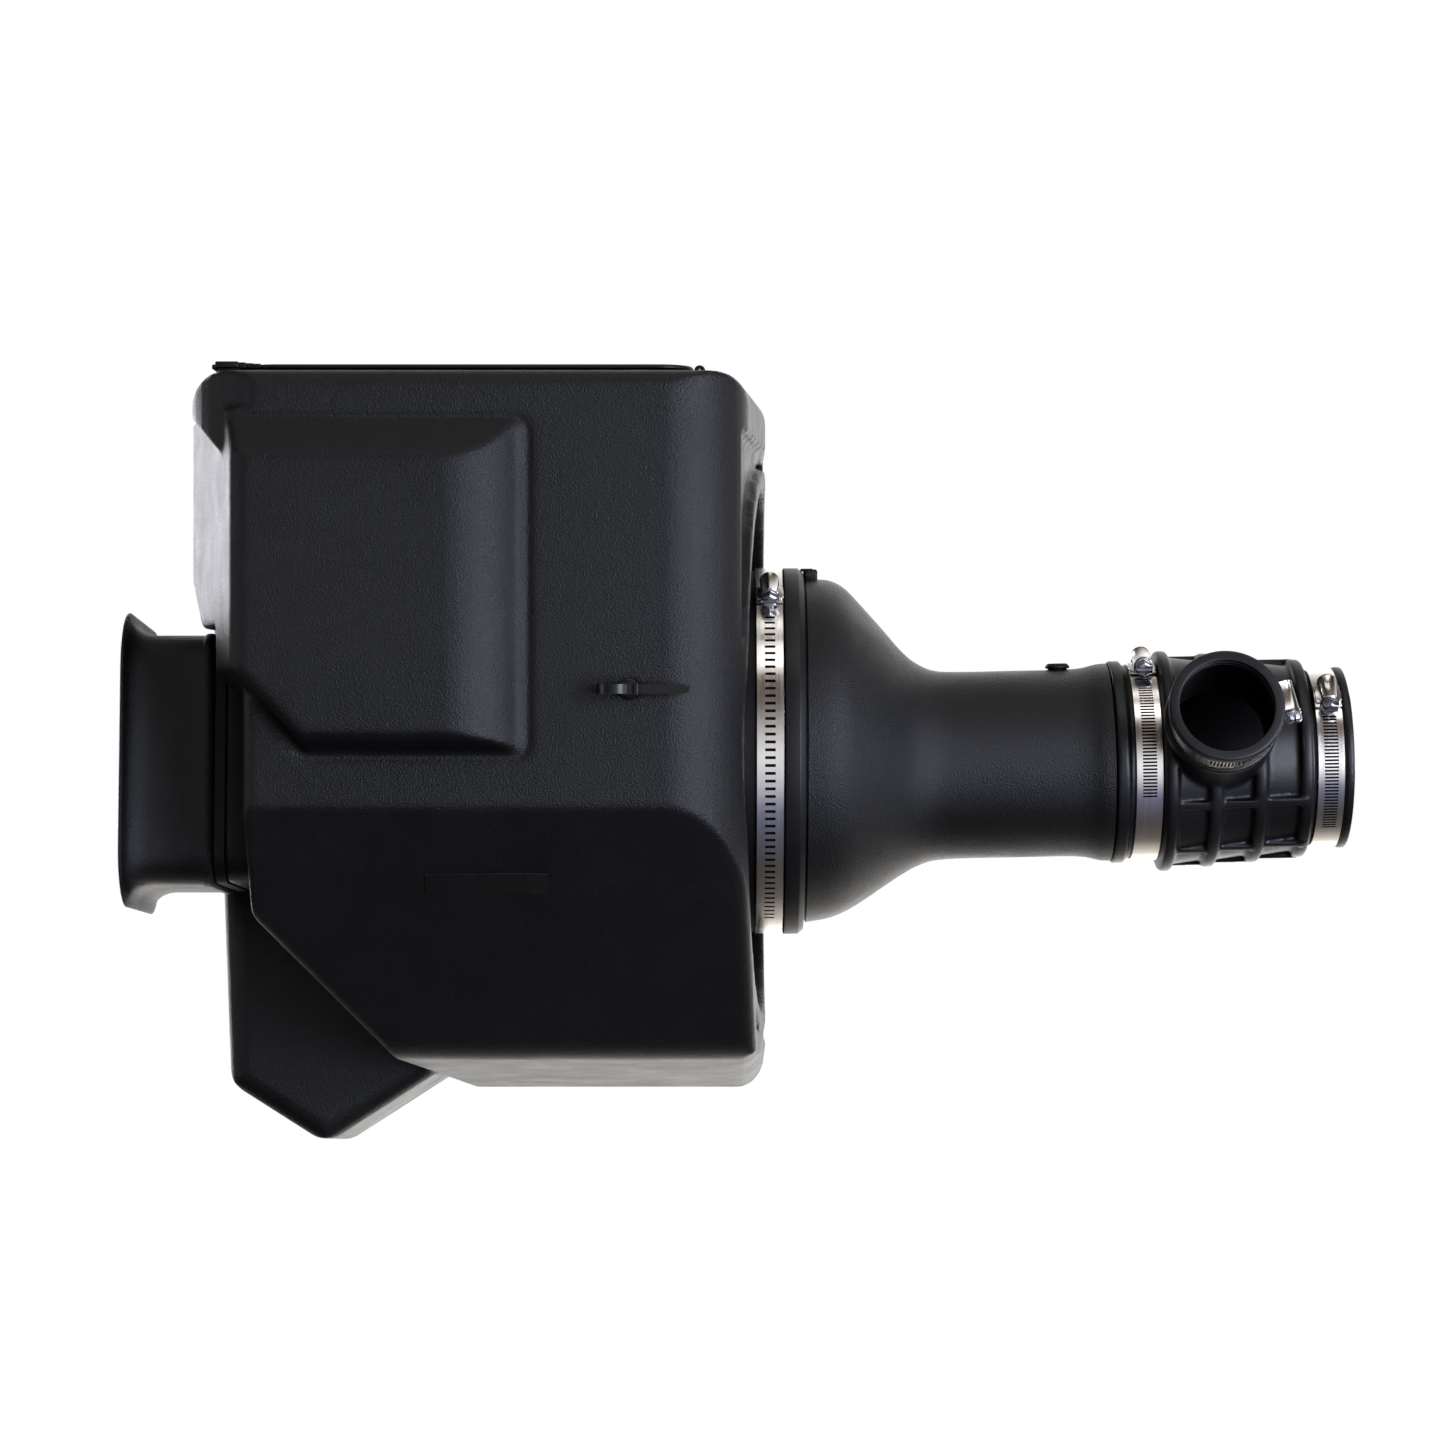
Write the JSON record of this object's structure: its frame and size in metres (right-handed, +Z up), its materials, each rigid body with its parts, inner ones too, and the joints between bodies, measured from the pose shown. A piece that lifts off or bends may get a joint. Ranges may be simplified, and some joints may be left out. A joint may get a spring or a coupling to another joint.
{
  "type": "cold air intake",
  "caption": "Closed-box cold air intake: moulded air box with inlet scoop and hinged filter lid, conical filter, bell-mouthed tube, and ribbed coupler with side port.",
  "frame": {"origin": "centre of the flat mounting pad on the back of the air box", "axes": "+X along the air flow towards the engine, +Y out of the mounting pad, +Z up"},
  "size_m": [0.5698, 0.3067, 0.3737],
  "materials": {
    "box_plastic": "black moulded polyethylene, fine leather grain",
    "duct_plastic": "black moulded plastic, fine grain, slightly glossier",
    "coupler_rubber": "satin black",
    "seal_rubber": "matte black",
    "flange_urethane": "black urethane, satin",
    "clamp_steel": "bright stainless",
    "cage_steel": "zinc plated",
    "filter_cloth": "oiled cotton gauze",
    "insert_brass": "plain",
    "tie_nylon": "black nylon"
  },
  "bodies": {
    "intake": {"air_box": "box_plastic", "cable_tie": "tie_nylon", "coupler": "coupler_rubber", "filter_cage": "cage_steel", "filter_end_cap": "flange_urethane", "filter_flange": "flange_urethane", "filter_media": "filter_cloth", "flange_clamp_band": "clamp_steel", "flange_clamp_housing": "clamp_steel", "inlet_scoop": "duct_plastic", "intake_tube": "duct_plastic", "lid_hinge_pin": "clamp_steel", "mount_insert_1": "insert_brass", "mount_insert_2": "insert_brass", "outlet_clamp_band": "clamp_steel", "outlet_clamp_housing": "clamp_steel", "port_clamp_band": "clamp_steel", "port_clamp_housing": "clamp_steel", "scoop_seal": "seal_rubber", "sensor_plug": "seal_rubber", "tube_clamp_band": "clamp_steel", "tube_clamp_housing": "clamp_steel"},
    "lid": {"access_lid": "box_plastic", "lid_seal": "seal_rubber"},
    "flange_clamp_worm": {"flange_clamp_screw": "clamp_steel"},
    "tube_clamp_worm": {"tube_clamp_screw": "clamp_steel"},
    "outlet_clamp_worm": {"outlet_clamp_screw": "clamp_steel"},
    "port_clamp_worm": {"port_clamp_screw": "clamp_steel"}
  },
  "joints": [
    {"name": "lid_tilt", "type": "hinge", "parent": "intake", "child": "lid", "pos_m": [0.0897, -0.14, 0.1724], "axis": [0, 1, 0], "range_deg": [0, 75]},
    {"name": "flange_clamp_turn", "type": "hinge", "parent": "intake", "child": "flange_clamp_worm", "pos_m": [0.1219, -0.18523, 0.08046], "axis": [0, -0.829, -0.5592], "continuous": true},
    {"name": "tube_clamp_turn", "type": "hinge", "parent": "intake", "child": "tube_clamp_worm", "pos_m": [0.29843, -0.15245, 0.04583], "axis": [0.0078, -0.9272, -0.3745], "continuous": true},
    {"name": "outlet_clamp_turn", "type": "hinge", "parent": "intake", "child": "outlet_clamp_worm", "pos_m": [0.3842, -0.17006, 0.03394], "axis": [0.0156, -0.6691, -0.743], "continuous": true},
    {"name": "port_clamp_turn", "type": "hinge", "parent": "intake", "child": "port_clamp_worm", "pos_m": [0.35879, -0.20446, 0.0319], "axis": [0.2419, -0.2998, -0.9228], "continuous": true}
  ]
}
